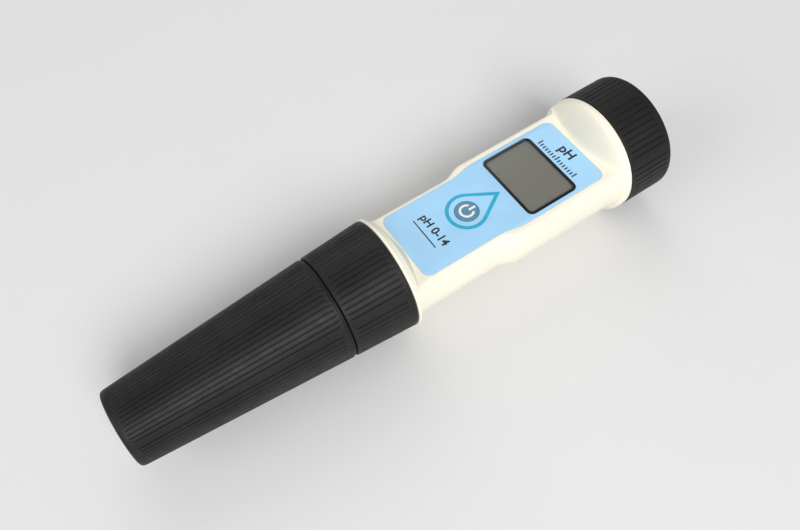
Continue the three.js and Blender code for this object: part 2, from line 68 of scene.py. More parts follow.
RIM_RADIUS = 18.5
LOWER_RADIUS = 15.95
UPPER_RADIUS = 18.0
FLANGE_FRONT_X = 81.6
FLANGE_RADIUS = 20.0
FACE_Z = 8.12
COLLAR_RAMP_X = 6.3        # foot of the conical ramp at the collar end
COLLAR_RAMP_SLOPE = 2.59
BATTERY_RAMP_START_X = 74.6
BATTERY_RAMP_END_X = 80.7
WALL = 2.0
SENSOR_SPIGOT_X = -10.0
SENSOR_SPIGOT_RADIUS = 14.9
BATTERY_SPIGOT_X = 91.5
BATTERY_SPIGOT_RADIUS = 16.4
BATTERY_CAP_X = 98.7
BATTERY_CAP_RADIUS = 20.1

WINDOW_X = 54.95
WINDOW_LENGTH = 18.8
WINDOW_WIDTH = 25.6
PANE_GAP = 0.15            # round the pane in its seat
KEY_X = 30.6
KEY_RADIUS = 3.85
KEY_GAP = 0.12
LABEL_DEPTH = 0.25
INK_THICKNESS = 0.03
PROBE_Z = -5.6             # the temperature probe lies below the glass stem

GROOVE_PITCH = 6.0        # degrees
GROOVE_DEPTH = 0.33
GROOVE_HALF_WIDTH = 0.16   # of a pitch
GROOVES_PER_LAND = 10     # one groove in ten is left out


# ---------------------------------------------------------------- small helpers

def lerp(a, b, t):
    return a + (b - a) * t


def clamp(value, low=0.0, high=1.0):
    return max(low, min(high, value))


def smoothstep(value, start, end):
    t = clamp((value - start) / (end - start))
    return t * t * (3 - 2 * t)


def soft_min(a, b, blend):
    h = max(blend - abs(a - b), 0) / blend
    return min(a, b) - h * h * blend / 4


def soft_max(a, b, blend):
    return -soft_min(-a, -b, blend)


def on_axes(x, y, z):
    """A point given in millimetres on the tester's own axes."""
    return Vector((ZERO_X + x * MM, y * MM, AXIS_Z + z * MM))


def place(x, radius, angle):
    """A point round the long axis; the angle runs from +Y towards +Z."""
    return on_axes(x, radius * math.cos(angle), radius * math.sin(angle))


def even_angles(count):
    return [2 * math.pi * (step + 0.5) / count for step in range(count)]


def rounded(corners, steps=5):
    """[x, radius, fillet] corners to a row list, each corner turned into a small curve."""
    rows = []
    last = len(corners) - 1
    for i, corner in enumerate(corners):
        here = Vector(corner[:2])
        fillet = corner[2] if len(corner) > 2 else 0
        if not fillet or i in (0, last):
            rows.append((here.x, here.y))
            continue
        back = Vector(corners[i - 1][:2]) - here
        on = Vector(corners[i + 1][:2]) - here
        start = here + back.normalized() * min(fillet, back.length * 0.49)
        end = here + on.normalized() * min(fillet, on.length * 0.49)
        for step in range(steps + 1):
            t = step / steps
            point = start * (1 - t) ** 2 + here * 2 * t * (1 - t) + end * t ** 2
            rows.append((point.x, point.y))
    return rows


def subdivided(rows, longest):
    """The same rows with more between them, so that no step is longer than that."""
    dense = [rows[0]]
    for before, after in zip(rows, rows[1:]):
        length = math.hypot(after[0] - before[0], after[1] - before[1])
        parts = max(1, math.ceil(length / longest))
        for part in range(1, parts + 1):
            t = part / parts
            dense.append((lerp(before[0], after[0], t), lerp(before[1], after[1], t)))
    return dense


# ---------------------------------------------------------------- meshes

def new_piece(name, verts, faces, material, sharp_degrees=32):
    mesh = bpy.data.meshes.new(name)
    mesh.from_pydata([tuple(v) for v in verts], [], faces)
    shell = bmesh.new()
    shell.from_mesh(mesh)
    bmesh.ops.recalc_face_normals(shell, faces=shell.faces)
    shell.to_mesh(mesh)
    shell.free()
    mesh.materials.append(material)
    smooth_shade(mesh, sharp_degrees)
    piece = bpy.data.objects.new(name, mesh)
    bpy.context.scene.collection.objects.link(piece)
    return piece


def smooth_shade(mesh, sharp_degrees):
    for face in mesh.polygons:
        face.use_smooth = True
    mesh.set_sharp_from_angle(angle=math.radians(sharp_degrees))


def skin(rings, loop):
    """Faces between neighbouring rings of vertex numbers; a ring of one is a point on the axis."""
    faces = []
    pairs = list(zip(rings, rings[1:]))
    if loop:
        pairs.append((rings[-1], rings[0]))
    for first, second in pairs:
        count = max(len(first), len(second))
        for i in range(count):
            j = (i + 1) % count
            corners = [
                first[i % len(first)],
                first[j % len(first)],
                second[j % len(second)],
                second[i % len(second)],
            ]
            faces.append(list(dict.fromkeys(corners)))
    return faces


def turned(name, rows, material, angles=None, radius=None, loop=False, sharp_degrees=32):
    """A piece turned about the long axis; radius(row number, row, angle) may vary round it."""
    angles = angles or even_angles(120)
    verts = []
    rings = []
    for number, row in enumerate(rows):
        start = len(verts)
        if row[1] == 0:
            verts.append(place(row[0], 0, 0))
        else:
            for angle in angles:
                verts.append(place(row[0], radius(number, row, angle) if radius else row[1], angle))
        rings.append(list(range(start, len(verts))))
    return new_piece(name, verts, skin(rings, loop), material, sharp_degrees)


def turned_at_height(name, rows, z, material):
    """A thin piece turned about a line above or below the long axis."""
    piece = turned(name, rows, material, even_angles(48))
    piece.data.transform(Matrix.Translation((0, 0, z * MM)))
    return piece


def upright(name, rows, x, material):
    """A piece turned about an upright line through the face, from (radius, z) rows."""
    verts = []
    rings = []
    for radius, z in rows:
        start = len(verts)
        angles = [0] if radius == 0 else even_angles(96)
        for angle in angles:
            verts.append(on_axes(x + radius * math.cos(angle), radius * math.sin(angle), z))
        rings.append(list(range(start, len(verts))))
    return new_piece(name, verts, skin(rings, False), material)


def o_ring(name, x, radius, thickness, material):
    sides = 16
    rows = []
    for step in range(sides):
        angle = 2 * math.pi * step / sides
        rows.append((x + thickness / 2 * math.cos(angle), radius + thickness / 2 * math.sin(angle)))
    return turned(name, rows, material, loop=True)


def slab(name, loops, bottom, top, material, bevel=0.0):
    """A flat plate between two heights, from an outer loop and any holes, with softened edges."""
    outline = bpy.data.curves.new(name, "CURVE")
    outline.dimensions = "2D"
    outline.fill_mode = "BOTH"
    outline.extrude = ((top - bottom) / 2 - bevel) * MM
    outline.bevel_depth = bevel * MM
    outline.bevel_resolution = 2
    outline.offset = -bevel * MM
    for points in loops:
        spline = outline.splines.new("POLY")
        spline.points.add(len(points) - 1)
        spline.use_cyclic_u = True
        for point, (x, y) in zip(spline.points, points):
            point.co = (x * MM, y * MM, 0, 1)
    holder = bpy.data.objects.new(name, outline)
    bpy.context.scene.collection.objects.link(holder)
    return as_mesh_piece(holder, Vector((ZERO_X, 0, AXIS_Z + (top + bottom) / 2 * MM)), material)


def as_mesh_piece(holder, position, material, turn=Matrix.Identity(4)):
    """Turns a curve or text into a welded mesh whose object sits at the origin."""
    name = holder.name
    depsgraph = bpy.context.evaluated_depsgraph_get()
    mesh = bpy.data.meshes.new_from_object(holder.evaluated_get(depsgraph))
    bpy.data.objects.remove(holder)
    mesh.transform(Matrix.Translation(position) @ turn)
    shell = bmesh.new()
    shell.from_mesh(mesh)
    bmesh.ops.remove_doubles(shell, verts=shell.verts, dist=0.002 * MM)
    bmesh.ops.recalc_face_normals(shell, faces=shell.faces)
    shell.to_mesh(mesh)
    shell.free()
    mesh.materials.clear()
    mesh.materials.append(material)
    smooth_shade(mesh, 40)
    piece = bpy.data.objects.new(name, mesh)
    bpy.context.scene.collection.objects.link(piece)
    return piece


def carve(piece, *cutters):
    """Cuts the cutters out of the piece and removes them."""
    for cutter in cutters:
        boolean = piece.modifiers.new("cut", "BOOLEAN")
        boolean.operation = "DIFFERENCE"
        boolean.solver = "EXACT"
        boolean.object = cutter
        depsgraph = bpy.context.evaluated_depsgraph_get()
        mesh = bpy.data.meshes.new_from_object(piece.evaluated_get(depsgraph))
        piece.modifiers.clear()
        old = piece.data
        piece.data = mesh
        bpy.data.meshes.remove(old)
        bpy.data.objects.remove(cutter)
    smooth_shade(piece.data, 28)


# ---------------------------------------------------------------- outlines on the face

def arc(x, y, radius, start, end, steps=8):
    angles = [math.radians(lerp(start, end, step / steps)) for step in range(steps + 1)]
    return [(x + radius * math.cos(a), y + radius * math.sin(a)) for a in angles]


def circle(x, y, radius, steps=72):
    return arc(x, y, radius, 0, 360 - 360 / steps, steps - 1)


def rounded_rectangle(x, length, width, corner):
    right, left, half = x + length / 2 - corner, x - length / 2 + corner, width / 2 - corner
    return (
        arc(right, -half, corner, -90, 0)
        + arc(right, half, corner, 0, 90)
        + arc(left, half, corner, 90, 180)
        + arc(left, -half, corner, 180, 270)
    )


def pane_seat_outline():
    length = WINDOW_LENGTH + 2 * PANE_GAP
    width = WINDOW_WIDTH + 2 * PANE_GAP
    return rounded_rectangle(WINDOW_X, length, width, 2.15)


def key_hole_outline():
    return circle(KEY_X, 0, KEY_RADIUS + KEY_GAP)


def label_outline(grow):
    """The label: narrow by the key, widening in a smooth S to the display."""
    lower, upper, corner = 12.73 + grow, 14.18 + grow, 2.8
    start, end = 6.8 - grow, 74.3 + grow
    widening_start, widening_end, steps = 33.0, 43.5, 16
    side = []
    for step in range(steps + 1):
        t = step / steps
        side.append((lerp(widening_start, widening_end, t), lerp(lower, upper, t * t * (3 - 2 * t))))
    return (
        arc(start + corner, -lower + corner, corner, 180, 270)
        + [(x, -y) for x, y in side]
        + arc(end - corner, -upper + corner, corner, -90, 0)
        + arc(end - corner, upper - corner, corner, 0, 90)
        + side[::-1]
        + arc(start + corner, lower - corner, corner, 90, 180)
    )


# ---------------------------------------------------------------- materials

def noise(tree, scale, detail, roughness, stretch):
    """Procedural noise on the piece's own coordinates, in metres."""
    place_node = tree.nodes.new("ShaderNodeTexCoord")
    mapping = tree.nodes.new("ShaderNodeMapping")
    mapping.inputs["Scale"].default_value = stretch
    texture = tree.nodes.new("ShaderNodeTexNoise")
    texture.inputs["Scale"].default_value = scale
    texture.inputs["Detail"].default_value = detail
    texture.inputs["Roughness"].default_value = roughness
    tree.links.new(place_node.outputs["Object"], mapping.inputs["Vector"])
    tree.links.new(mapping.outputs["Vector"], texture.inputs["Vector"])
    return texture.outputs["Fac"]


def ramp(tree, source, low, high):
    """Spreads a noise value between two colours."""
    node = tree.nodes.new("ShaderNodeValToRGB")
    node.color_ramp.elements[0].position = 0.35
    node.color_ramp.elements[1].position = 0.65
    node.color_ramp.elements[0].color = (*low, 1)
    node.color_ramp.elements[1].color = (*high, 1)
    tree.links.new(source, node.inputs["Fac"])
    return node.outputs["Color"]


def spread(tree, source, low, high):
    """Spreads a noise value between two numbers."""
    node = tree.nodes.new("ShaderNodeMapRange")
    node.inputs["From Min"].default_value = 0.3
    node.inputs["From Max"].default_value = 0.7
    node.inputs["To Min"].default_value = low
    node.inputs["To Max"].default_value = high
    tree.links.new(source, node.inputs["Value"])
    return node.outputs["Result"]


def bump(tree, source, strength, distance):
    node = tree.nodes.new("ShaderNodeBump")
    node.inputs["Strength"].default_value = strength
    node.inputs["Distance"].default_value = distance
    tree.links.new(source, node.inputs["Height"])
    return node.outputs["Normal"]


def material(
    name,
    colour,
    roughness=(0.4, 0.5),
    metallic=0.0,
    tint=0.06,
    tint_scale=60,
    grain_scale=2500,
    grain=0.15,
    grain_depth=0.00003,
    stretch=(1, 1, 1),
    **sockets,
):
    """A surface whose colour drifts slightly, with its own gloss variation and fine grain."""
    made = bpy.data.materials.new(name)
    made.use_nodes = True
    tree = made.node_tree
    shader = tree.nodes["Principled BSDF"]
    shader.inputs["Metallic"].default_value = metallic
    for socket, value in sockets.items():
        shader.inputs[socket.replace("_", " ")].default_value = value
    low = tuple(clamp(channel * (1 - tint)) for channel in colour)
    high = tuple(clamp(channel * (1 + tint)) for channel in colour)
    drift = noise(tree, tint_scale, 4, 0.6, stretch)
    tree.links.new(ramp(tree, drift, low, high), shader.inputs["Base Color"])
    gloss = noise(tree, grain_scale / 8, 3, 0.6, stretch)
    tree.links.new(spread(tree, gloss, *roughness), shader.inputs["Roughness"])
    fine = noise(tree, grain_scale, 2, 0.5, stretch)
    tree.links.new(bump(tree, fine, grain, grain_depth), shader.inputs["Normal"])
    return made


def make_materials():
    return {
        "ivory_shell": material(
            "ivory_moulding", (0.92, 0.87, 0.73), (0.34, 0.44), tint=0.015, grain_scale=3200, grain=0.12,
            Subsurface_Weight=0.12, Subsurface_Scale=0.002,
        ),
        "black_grip": material(
            "black_moulding", (0.017, 0.0165, 0.016), (0.42, 0.54), tint=0.18, grain_scale=2600,
            grain=0.25, Specular_IOR_Level=0.18,
        ),
        "label_film": material(
            "blue_film", (0.385, 0.67, 0.925), (0.34, 0.42), tint=0.012, grain_scale=4200, grain=0.05,
            Specular_IOR_Level=0.3,
        ),
        "display_pane": material(
            "pane_border_black", (0.008, 0.009, 0.01), (0.08, 0.14), tint=0.1, grain=0.02,
        ),
        "liquid_crystal": material(
            "liquid_crystal", (0.145, 0.143, 0.115), (0.2, 0.26), tint=0.02, tint_scale=90, grain=0.02,
        ),
        "key_face": material(
            "key_blue", (0.10, 0.265, 0.385), (0.36, 0.44), tint=0.04, grain_scale=3600, grain=0.1,
        ),
        "grey_plastic": material("grey_moulding", (0.3, 0.31, 0.32), (0.4, 0.55), tint=0.05),
        "seal_rubber": material(
            "seal_rubber", (0.012, 0.012, 0.012), (0.6, 0.75), tint=0.2, grain_scale=1800, grain=0.3,
        ),
        "board": material(
            "solder_mask", (0.02, 0.12, 0.05), (0.25, 0.35), tint=0.15, tint_scale=400, grain_scale=900,
        ),
        "chip": material("chip_epoxy", (0.02, 0.02, 0.02), (0.5, 0.6), tint=0.15),
        "steel": material(
            "plain_steel", (0.6, 0.6, 0.61), (0.22, 0.34), 1.0, tint=0.04, stretch=(0.2, 1, 1),
        ),
        "gold_contact": material("gold_plate", (0.75, 0.55, 0.2), (0.18, 0.28), 1.0, tint=0.05),
        "cell_sleeve": material("cell_sleeve", (0.06, 0.13, 0.26), (0.2, 0.3), tint=0.06),
        "smoked_plastic": material(
            "smoked_barrel", (0.024, 0.032, 0.04), (0.16, 0.26), tint=0.08, grain=0.04, Coat_Weight=0.2,
        ),
        "silver_wire": material("silver_wire", (0.5, 0.48, 0.45), (0.4, 0.5), 1.0, tint=0.1),
        "junction_ceramic": material(
            "junction_ceramic", (0.8, 0.77, 0.7), (0.7, 0.85), tint=0.06, tint_scale=900,
            grain_scale=1500, grain=0.5,
        ),
        "foam": material(
            "open_cell_foam", (0.7, 0.6, 0.33), (0.85, 0.95), tint=0.3, tint_scale=900, grain_scale=1300,
            grain=1.0, grain_depth=0.0004,
        ),
        "electrode_glass": material(
            "electrode_glass", (0.85, 0.93, 0.95), (0.02, 0.04), tint=0.004, tint_scale=20,
            grain=0.002, Alpha=0.2,
        ),
        "clear_lens": material(
            "clear_lens", (0.5, 0.5, 0.5), (0.06, 0.1), tint=0.01, grain=0.01, Alpha=0.06,
        ),
        "print_white": material("print_white", (0.88, 0.9, 0.9), (0.35, 0.42), tint=0.01, grain=0.05),
        "print_teal": material(
            "print_teal", (0.012, 0.39, 0.6), (0.3, 0.38), tint=0.1, tint_scale=120, grain=0.05,
        ),
        "print_dark": material("print_dark", (0.012, 0.02, 0.03), (0.35, 0.42), tint=0.1, grain=0.05),
        "floor": material(
            "studio_floor", (0.77, 0.77, 0.77), (0.6, 0.7), tint=0.006, tint_scale=6, grain_scale=400,
            grain=0.04,
        ),
    }


materials = make_materials()


def finish_as(piece, slot, body, *nodes):
    """The piece joins its body and stands for the CAD nodes named, which are hidden; slot is not used.
    """
    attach(piece, body)
    if nodes:
        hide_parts(*nodes)


# ---------------------------------------------------------------- ribbed grips

def groove_angles():
    """Angles round a grip, close together on the flanks of every groove."""
    shares = (-0.5, -0.3, -0.17, -0.13, -0.09, -0.045, 0, 0.045, 0.09, 0.13, 0.17, 0.3)
    count = round(360 / GROOVE_PITCH)
    return [math.radians((number + share) * GROOVE_PITCH) for number in range(count) for share in shares]


def groove_share(degrees, first, skipped):
    """How deep in a groove this angle is, from 0 on a land to 1 at the bottom."""
    turn = (degrees - first) / GROOVE_PITCH
    nearest = round(turn)
    if nearest % GROOVES_PER_LAND == skipped:
        return 0.0
    inside = 1 - abs(turn - nearest) / GROOVE_HALF_WIDTH
    return smoothstep(inside, 0.0, 0.75)


def grip(name, outside, inside, grooves, first, skipped):
    """A sleeve or cup with lengthwise grooves between two stations of its outside."""
    start, end = grooves
    run_out = 1.6
    run_out_steps = 4
    stations = [start, end]
    for step in range(1, run_out_steps + 1):
        reach = run_out * step / run_out_steps
        stations += [start + reach, end - reach]
    rows = with_stations(outside, sorted(stations))
    outer_count = len(rows)
    rows = rows + inside

    def radius(number, row, angle):
        if number >= outer_count:
            return row[1]
        from_start = smoothstep(row[0], start, start + run_out)
        from_end = smoothstep(-row[0], -end, -end + run_out)
        share = groove_share(math.degrees(angle), first, skipped)
        return row[1] - GROOVE_DEPTH * min(from_start, from_end) * share

    angles = [angle + math.radians(first) for angle in groove_angles()]
    return turned(name, rows, materials["black_grip"], angles, radius)


def with_stations(rows, stations):
    """Adds rows at these stations along an outside that runs in the direction of +X."""
    dense = [rows[0]]
    for before, after in zip(rows, rows[1:]):
        if after[0] - before[0] > 1:
            for x in stations:
                if before[0] < x < after[0]:
                    t = (x - before[0]) / (after[0] - before[0])
                    dense.append((x, lerp(before[1], after[1], t)))
        dense.append(after)
    return dense


def make_battery_cap():
    start = FLANGE_FRONT_X + 0.2
    outside = rounded([
        (start, 17.3),
        (start, BATTERY_CAP_RADIUS, 0.35),
        (BATTERY_CAP_X, BATTERY_CAP_RADIUS, 1.7),
        (BATTERY_CAP_X, 17.2, 0.3),
        (BATTERY_CAP_X - 0.35, 16.8, 0.3),
        (BATTERY_CAP_X - 0.35, 0),
    ])
    inside = rounded([
        (95.4, 0),
        (95.4, 13.4, 0.3),
        (92.4, 13.4, 0.3),
        (92.4, 17.3, 0.3),
        (start + 0.5, 17.3),
    ])
    cap = grip("battery_cap_grip", outside, inside, (82.3, 97.4), 0, 5)
    finish_as(cap, "black_grip", "battery_cap", "battery_cap")


def make_collar():
    outside = rounded([
        (COLLAR_NOSE_X, 9.6),
        (COLLAR_NOSE_X, COLLAR_NOSE_RADIUS, 0.5),
        (-25.8, COLLAR_NOSE_RADIUS, 0.15),
        (-25.8, 12.0, 0.15),
        (-23.6, 12.0, 0.15),
        (-23.6, COLLAR_NOSE_RADIUS, 0.15),
        (COLLAR_FRONT_X, COLLAR_NOSE_RADIUS, 0.2),
        (COLLAR_FRONT_X, COLLAR_FRONT_RADIUS, 0.45),
        (-0.2, COLLAR_BACK_RADIUS, 0.2),
        (-0.2, 15.4),
    ])
    inside = rounded([
        (-12.8, 15.4),
        (-12.8, 9.6, 0.2),
        (COLLAR_NOSE_X + 0.5, 9.6),
    ])
    collar = grip("collar_grip", outside, inside, (-20.2, -1.0), 3, 4)
    finish_as(collar, "black_grip", "collar", "collar")


def make_protective_cap():
    outside = rounded([
        (CAP_TIP_X + 0.4, 0),
        (CAP_TIP_X + 0.4, 9.6, 0.3),
        (CAP_TIP_X, 10.0, 0.3),
        (CAP_TIP_X, CAP_TIP_RADIUS, 1.5),
        (CAP_MOUTH_X, CAP_MOUTH_RADIUS, 0.35),
        (CAP_MOUTH_X, 16.2),
        (CAP_LIP_X, 16.2, 0.1),
        (CAP_LIP_X, CAP_BORE_RADIUS),
    ])
    inside = rounded([
        (-30.0, CAP_BORE_RADIUS),
        (-86.6, 10.0, 1.0),
        (-86.6, 0),
    ])
    cap = grip("protective_cap_grip", outside, inside, (-87.0, -21.9), 3, 4)
    finish_as(cap, "black_grip", "protective_cap", "protective_cap")


# ---------------------------------------------------------------- housing

def housing_angles():
    """Round the housing, closer together where the flat face meets the round sides."""
    first_edge = 29
    second_edge = 151
    degrees = []
    value = 0.0
    while value < 360:
        from_edge = min(abs(value - first_edge), abs(value - second_edge))
        degrees.append(value)
        if from_edge < 8:
            value += 0.5
        elif value < 180:
            value += 1.5
        else:
            value += 2.5
    return [math.radians(value) for value in degrees]


def battery_ramp(x):
    """Radius of the curved ramp that rises from the face to the battery end's rim."""
    t = clamp((x - BATTERY_RAMP_START_X) / (BATTERY_RAMP_END_X - BATTERY_RAMP_START_X))
    steepness = 1.15
    return lerp(5.0, FLANGE_RADIUS + 0.2, math.sin(t * math.pi / 2) ** steepness)


def collar_ramp(x):
    """Radius of the short conical ramp at the collar end."""
    return FACE_Z + (COLLAR_RAMP_X - x) * COLLAR_RAMP_SLOPE


def make_housing():
    outside = rounded([
        (SENSOR_SPIGOT_X, 12.4),
        (SENSOR_SPIGOT_X, SENSOR_SPIGOT_RADIUS, 0.5),
        (0.1, SENSOR_SPIGOT_RADIUS, 0.1),
        (0.1, RIM_RADIUS, 0.25),
        (1.15, RIM_RADIUS, 0.25),
        (1.5, 17.1, 0.3),
        (3.0, 16.45, 0.8),
        (6.0, LOWER_RADIUS, 2.0),
        (32.0, LOWER_RADIUS),
    ])
    waist = []
    waist_steps = 20
    for step in range(1, waist_steps):
        t = step / waist_steps
        waist.append((lerp(32.0, 39.5, t), lerp(LOWER_RADIUS, UPPER_RADIUS, smoothstep(t, 0, 1))))
    upper = rounded([
        (39.5, UPPER_RADIUS),
        (77.9, UPPER_RADIUS, 0.9),
        (78.5, FLANGE_RADIUS - 0.3, 0.7),
        (79.6, FLANGE_RADIUS, 0.4),
        (FLANGE_FRONT_X, FLANGE_RADIUS, 0.2),
        (FLANGE_FRONT_X, BATTERY_SPIGOT_RADIUS, 0.1),
        (82.3, BATTERY_SPIGOT_RADIUS, 0.1),
        (82.3, 15.2, 0.1),
        (84.5, 15.2, 0.1),
        (84.5, BATTERY_SPIGOT_RADIUS, 0.1),
        (BATTERY_SPIGOT_X, BATTERY_SPIGOT_RADIUS, 0.5),
        (BATTERY_SPIGOT_X, 14.6),
    ])
    outer_rows = subdivided(outside + waist + upper, 1.2)
    outer_rows = refined(outer_rows, [(1.0, 7.0, 0.2), (74.0, 81.8, 0.14)])
    inner_rows = [
        (79.71, 14.6),
        (79.69, 14.6),
        (77.0, 14.6),
        (77.0, UPPER_RADIUS - WALL),
        (39.5, UPPER_RADIUS - WALL),
        (32.0, LOWER_RADIUS - WALL),
        (4.0, LOWER_RADIUS - WALL),
        (4.0, 5.6),
        (1.4, 5.6),
        (1.4, 12.4),
    ]
    outer_count = len(outer_rows)
    edge_blend = 1.3
    collar_ramp_blend = 0.4
    battery_ramp_blend = 2.6

    def radius(number, row, angle):
        """The turned outline, cut down to the flat face on top and raised again on the ramps."""
        rise = math.sin(angle)
        x = row[0]
        if rise < 0.25:
            return row[1]
        if number >= outer_count:
            behind_panel = 1.4 < x < 79.7
            return min(row[1], (FACE_Z - WALL) / rise) if behind_panel else row[1]
        if x < 1.2 or x > BATTERY_RAMP_END_X:
            return row[1]
        limit = FACE_Z / rise
        if x < 12:
            limit = soft_max(limit, collar_ramp(x), collar_ramp_blend)
        if x > 70:
            limit = soft_max(limit, battery_ramp(x), battery_ramp_blend)
        return soft_min(row[1], limit, edge_blend)

    housing = turned(
        "housing_shell",
        outer_rows + inner_rows,
        materials["ivory_shell"],
        housing_angles(),
        radius,
        loop=True,
    )
    opening = rounded_rectangle(WINDOW_X, WINDOW_LENGTH - 1.8, WINDOW_WIDTH - 1.8, 1.2)
    cuts = (
        ("label_recess", label_outline(0.1), FACE_Z - LABEL_DEPTH, FACE_Z + 2),
        ("pane_seat", pane_seat_outline(), FACE_Z - 1, FACE_Z + 2),
        ("pane_opening", opening, FACE_Z - 4, FACE_Z + 1),
        ("key_hole", key_hole_outline(), 3.5, FACE_Z + 1),
    )
    cutters = [
        slab(name, [outline], bottom, top, materials["ivory_shell"])
        for name, outline, bottom, top in cuts
    ]
    carve(housing, *cutters)
    finish_as(housing, "ivory_shell", "housing", "housing")


def refined(rows, zones):
    """Closer rows inside the zones (start, end, longest step)."""
    dense = [rows[0]]
    for before, after in zip(rows, rows[1:]):
        middle = (before[0] + after[0]) / 2
        steps = [step for start, end, step in zones if start < middle < end]
        pair = subdivided([before, after], steps[0]) if steps else [before, after]
        dense.extend(pair[1:])
    return dense


def make_thread(name, start, end, root_radius, height, pitch, body):
    """A raised screw ridge wound on a spigot, fading out at both ends."""
    turns = (end - start) / pitch
    steps_per_turn = 72
    steps = int(turns * steps_per_turn)
    half_foot = 0.75
    half_crest = 0.25
    foot = root_radius - 0.1
    verts = []
    rings = []
    for step in range(steps + 1):
        t = step / steps
        fade = min(1.0, min(t, 1 - t) * turns * 4)
        angle = 2 * math.pi * turns * t
        middle = lerp(start, end, t)
        top = root_radius + height * fade
        first = len(verts)
        section = ((-half_foot, foot), (-half_crest, top), (half_crest, top), (half_foot, foot))
        for dx, radius in section:
            verts.append(place(middle + dx, radius, -angle))
        rings.append(list(range(first, first + 4)))
    faces = skin(rings, False) + [rings[0][::-1], rings[-1]]
    thread = new_piece(name, verts, faces, materials["ivory_shell"])
    finish_as(thread, "ivory_shell", body)


# ---------------------------------------------------------------- face: label, display, key

def drop_outline(radius, tip, steps=48):
    """A plain symmetrical drop: a round body drawn out to one point."""
    reach = tip - KEY_X
    tangent = math.degrees(math.acos(radius / reach))
    body = arc(KEY_X, 0, radius, tangent, 360 - tangent, steps)
    return body + [(tip, 0)]


def make_label():
    label = slab(
        "label_sheet",
        [label_outline(0), pane_seat_outline(), key_hole_outline()],
        FACE_Z - LABEL_DEPTH,
        FACE_Z - 0.02,
        materials["label_film"],
        bevel=0.03,
    )
    finish_as(label, "label_film", "housing", "front_label")


def print_on_label(name, loops, ink, body="housing", bottom=FACE_Z - INK_THICKNESS):
    """Ink lies a hair above what it is printed on."""
    mark = slab(name, loops, bottom, bottom + INK_THICKNESS, materials[ink])
    finish_as(mark, "label_film", body)


def bar(x, y, length, width):
    return [
        (x - length / 2, y - width / 2),
        (x + length / 2, y - width / 2),
        (x + length / 2, y + width / 2),
        (x - length / 2, y + width / 2),
    ]


def print_text(name, words, x, size, ink):
    """Generic characters, read with the battery end up."""
    bolder = 0.08 / 3
    text = bpy.data.curves.new(name, "FONT")
    text.body = words
    text.size = size * MM
    text.align_x = "CENTER"
    text.extrude = INK_THICKNESS / 2 * MM
    text.offset = bolder * size * MM
    holder = bpy.data.objects.new(name, text)
    bpy.context.scene.collection.objects.link(holder)
    turn = Matrix.Rotation(-math.pi / 2, 4, "Z")
    position = on_axes(x, 0, FACE_Z - INK_THICKNESS / 2)
    mark = as_mesh_piece(holder, position, materials[ink], turn)
    finish_as(mark, "label_film", "housing")


def make_prints():
    print_on_label("drop_outline", [drop_outline(6.8, 43.6), drop_outline(5.6, 41.3)], "print_teal")
    print_text("scale_sign", "pH", 69.1, 4.9, "print_dark")
    print_text("range_numbers", "pH 0-14", 17.2, 3.9, "print_dark")
    scale_x = 65.4
    pitch = 1.2
    scale = []
    for number in range(15):
        length = 2.1 if number % 7 == 0 else 1.4
        scale.append(bar(scale_x + length / 2, (7 - number) * pitch, length, 0.5))
    print_on_label("scale_marks", scale, "print_dark")
    print_on_label("range_line", [bar(15.0, 0.6, 0.4, 12)], "print_dark")


def make_display():
    inner = (WINDOW_LENGTH - 1.7, WINDOW_WIDTH - 1.7, 1.4)
    border = slab(
        "display_border",
        [
            rounded_rectangle(WINDOW_X, WINDOW_LENGTH, WINDOW_WIDTH, 2),
            rounded_rectangle(WINDOW_X, *inner),
        ],
        FACE_Z - 0.5,
        FACE_Z + 0.08,
        materials["display_pane"],
        bevel=0.08,
    )
    finish_as(border, "display_pane", "housing", "display_window")
    lens = slab(
        "display_lens",
        [rounded_rectangle(WINDOW_X, *inner)],
        FACE_Z - 0.2,
        FACE_Z + 0.02,
        materials["clear_lens"],
    )
    finish_as(lens, "display_pane", "housing")
    crystal = slab(
        "display_crystal",
        [rounded_rectangle(WINDOW_X, WINDOW_LENGTH - 0.4, WINDOW_WIDTH - 0.4, 1.8)],
        FACE_Z - 0.95,
        FACE_Z - 0.52,
        materials["liquid_crystal"],
    )
    finish_as(crystal, "liquid_crystal", "housing")


def make_key():
    rows = [
        (0, 4.9),
        (1.6, 4.9),
        (1.6, 5.2),
        (4.65, 5.2),
        (4.65, 5.8),
        (KEY_RADIUS, 5.8),
        (KEY_RADIUS, FACE_Z - 0.05),
        (KEY_RADIUS - 0.06, FACE_Z + 0.03),
        (KEY_RADIUS - 0.2, FACE_Z + 0.08),
        (KEY_RADIUS - 1.2, FACE_Z + 0.12),
        (0, FACE_Z + 0.12),
    ]
    key = upright("key_disc", rows, KEY_X, materials["key_face"])
    finish_as(key, "key_face", "power_key", "power_key")
    gap_start = 38
    gap_end = 322
    outer = arc(KEY_X, 0, 2.5, gap_start, gap_end, 48)
    inner = arc(KEY_X, 0, 1.75, gap_end, gap_start, 48)
    sign = [outer + inner, bar(KEY_X + 2.0, 0, 2.4, 0.75)]
    print_on_label("power_sign", sign, "print_white", "power_key", FACE_Z + 0.11)


# ---------------------------------------------------------------- sensor

